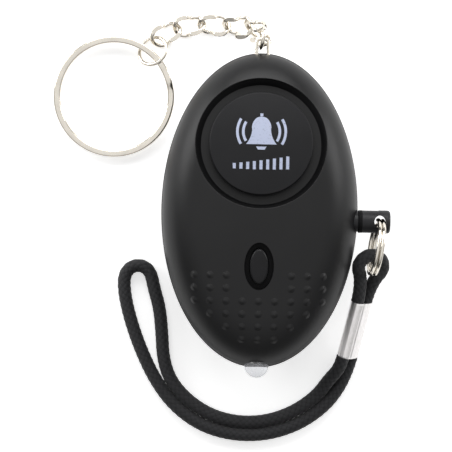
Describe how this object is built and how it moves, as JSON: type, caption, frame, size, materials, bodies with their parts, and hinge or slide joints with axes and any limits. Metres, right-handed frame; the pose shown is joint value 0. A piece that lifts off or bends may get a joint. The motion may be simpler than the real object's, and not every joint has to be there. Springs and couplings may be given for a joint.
{
  "type": "personal safety alarm",
  "caption": "Oval pocket alarm with a sounder under a round cap, a lamp, a lamp button, a pull pin on a corded wrist strap and a key ring on a curb chain.",
  "frame": {"origin": "middle of the flat on the back, on which the alarm lies", "axes": "+X towards the pull pin, +Y towards the chain end, +Z out of the front face"},
  "size_m": [0.0711, 0.0903, 0.0223],
  "materials": {
    "shell_plastic": "matte",
    "cap_plastic": "satin",
    "dark_plastic": "satin",
    "nickel_steel": "polished",
    "ferrule_metal": "satin",
    "cord_fabric": "woven",
    "clear_lens": "clear",
    "sounder_brass": "satin",
    "ceramic": "satin",
    "board": "satin",
    "cell_steel": "satin",
    "coil_copper": "satin",
    "tray_plastic": "matte"
  },
  "bodies": {
    "casing": {"front_shell": "shell_plastic", "rear_shell": "shell_plastic", "speaker_cap": "cap_plastic", "sounder_plate": "sounder_brass", "sounder_ceramic": "ceramic", "circuit_board": "board", "switch_body": "dark_plastic", "driver_chip": "dark_plastic", "coil_core": "dark_plastic", "coil_winding": "coil_copper", "cell_tray": "tray_plastic", "cell_1": "cell_steel", "cell_2": "cell_steel", "cell_3": "cell_steel", "lower_contact": "nickel_steel", "upper_contact": "nickel_steel", "lamp_lens": "clear_lens", "lamp_leads": "nickel_steel", "case_screws": "nickel_steel", "pin_sleeve": "dark_plastic", "contact_springs": "sounder_brass", "chain_bail": "nickel_steel"},
    "button": {"led_button": "dark_plastic"},
    "plunger": {"switch_plunger": "dark_plastic"},
    "pin": {"pull_pin": "dark_plastic", "pin_shaft": "nickel_steel"},
    "ring": {"pin_ring": "nickel_steel"},
    "strap": {"ferrule": "ferrule_metal", "clamped_cord": "cord_fabric", "ring_loop": "cord_fabric", "wrist_cord": "cord_fabric"},
    "link_1": {"chain_link_1": "nickel_steel"},
    "link_2": {"chain_link_2": "nickel_steel"},
    "link_3": {"chain_link_3": "nickel_steel"},
    "link_4": {"chain_link_4": "nickel_steel"},
    "link_5": {"chain_link_5": "nickel_steel"},
    "link_6": {"chain_link_6": "nickel_steel"},
    "jump": {"jump_ring": "nickel_steel"},
    "keys": {"key_ring": "nickel_steel"}
  },
  "joints": [
    {"name": "button_press", "type": "slide", "parent": "casing", "child": "button", "axis": [0, 0, -1], "range_m": [0, 0.0006], "stiffness_N_per_m": 300},
    {"name": "plunger_press", "type": "slide", "parent": "casing", "child": "plunger", "axis": [0, 0, -1], "range_m": [0, 0.0006]},
    {"name": "pin_pull", "type": "slide", "parent": "casing", "child": "pin", "axis": [1, 0, 0], "range_m": [0, 0.008]},
    {"name": "pin_ring_swing", "type": "hinge", "parent": "pin", "child": "ring", "pos_m": [0.0249, -0.0019, 0.0125], "axis": [0, 0, 1], "range_deg": [0, 30]},
    {"name": "strap_swing", "type": "hinge", "parent": "ring", "child": "strap", "pos_m": [0.0233, -0.0117, 0.00935], "axis": [0, 0, 1], "range_deg": [0, 15]},
    {"name": "link_1_swing", "type": "hinge", "parent": "casing", "child": "link_1", "pos_m": [0, 0.03533, 0.0125], "axis": [-1, 0, 0], "range_deg": [0, 25]},
    {"name": "link_2_swing", "type": "hinge", "parent": "link_1", "child": "link_2", "pos_m": [-0.0002, 0.03695, 0.00793], "axis": [0, 0, 1], "range_deg": [-12, 12]},
    {"name": "link_3_swing", "type": "hinge", "parent": "link_2", "child": "link_3", "pos_m": [-0.00272, 0.03834, 0.00348], "axis": [0, 0, -1], "range_deg": [-8, 18]},
    {"name": "link_4_swing", "type": "hinge", "parent": "link_3", "child": "link_4", "pos_m": [-0.00751, 0.03896, 0.00129], "axis": [0, 0, 1], "range_deg": [-15, 12]},
    {"name": "link_5_swing", "type": "hinge", "parent": "link_4", "child": "link_5", "pos_m": [-0.01276, 0.03912, 0.00196], "axis": [0, 0, -1], "range_deg": [-12, 12]},
    {"name": "link_6_swing", "type": "hinge", "parent": "link_5", "child": "link_6", "pos_m": [-0.01796, 0.03825, 0.00141], "axis": [0, 0, 1], "range_deg": [-20, 5]},
    {"name": "jump_ring_swing", "type": "hinge", "parent": "link_6", "child": "jump", "pos_m": [-0.02257, 0.03564, 0.00139], "axis": [0, 0, -1], "range_deg": [-8, 20]},
    {"name": "key_ring_swing", "type": "hinge", "parent": "jump", "child": "keys", "pos_m": [-0.02298, 0.0333, 0.00206], "axis": [0, 0, 1], "range_deg": [-15, 15]}
  ],
  "couplings": [
    {"joint": "plunger_press", "follows": "button_press", "ratio": 1}
  ]
}
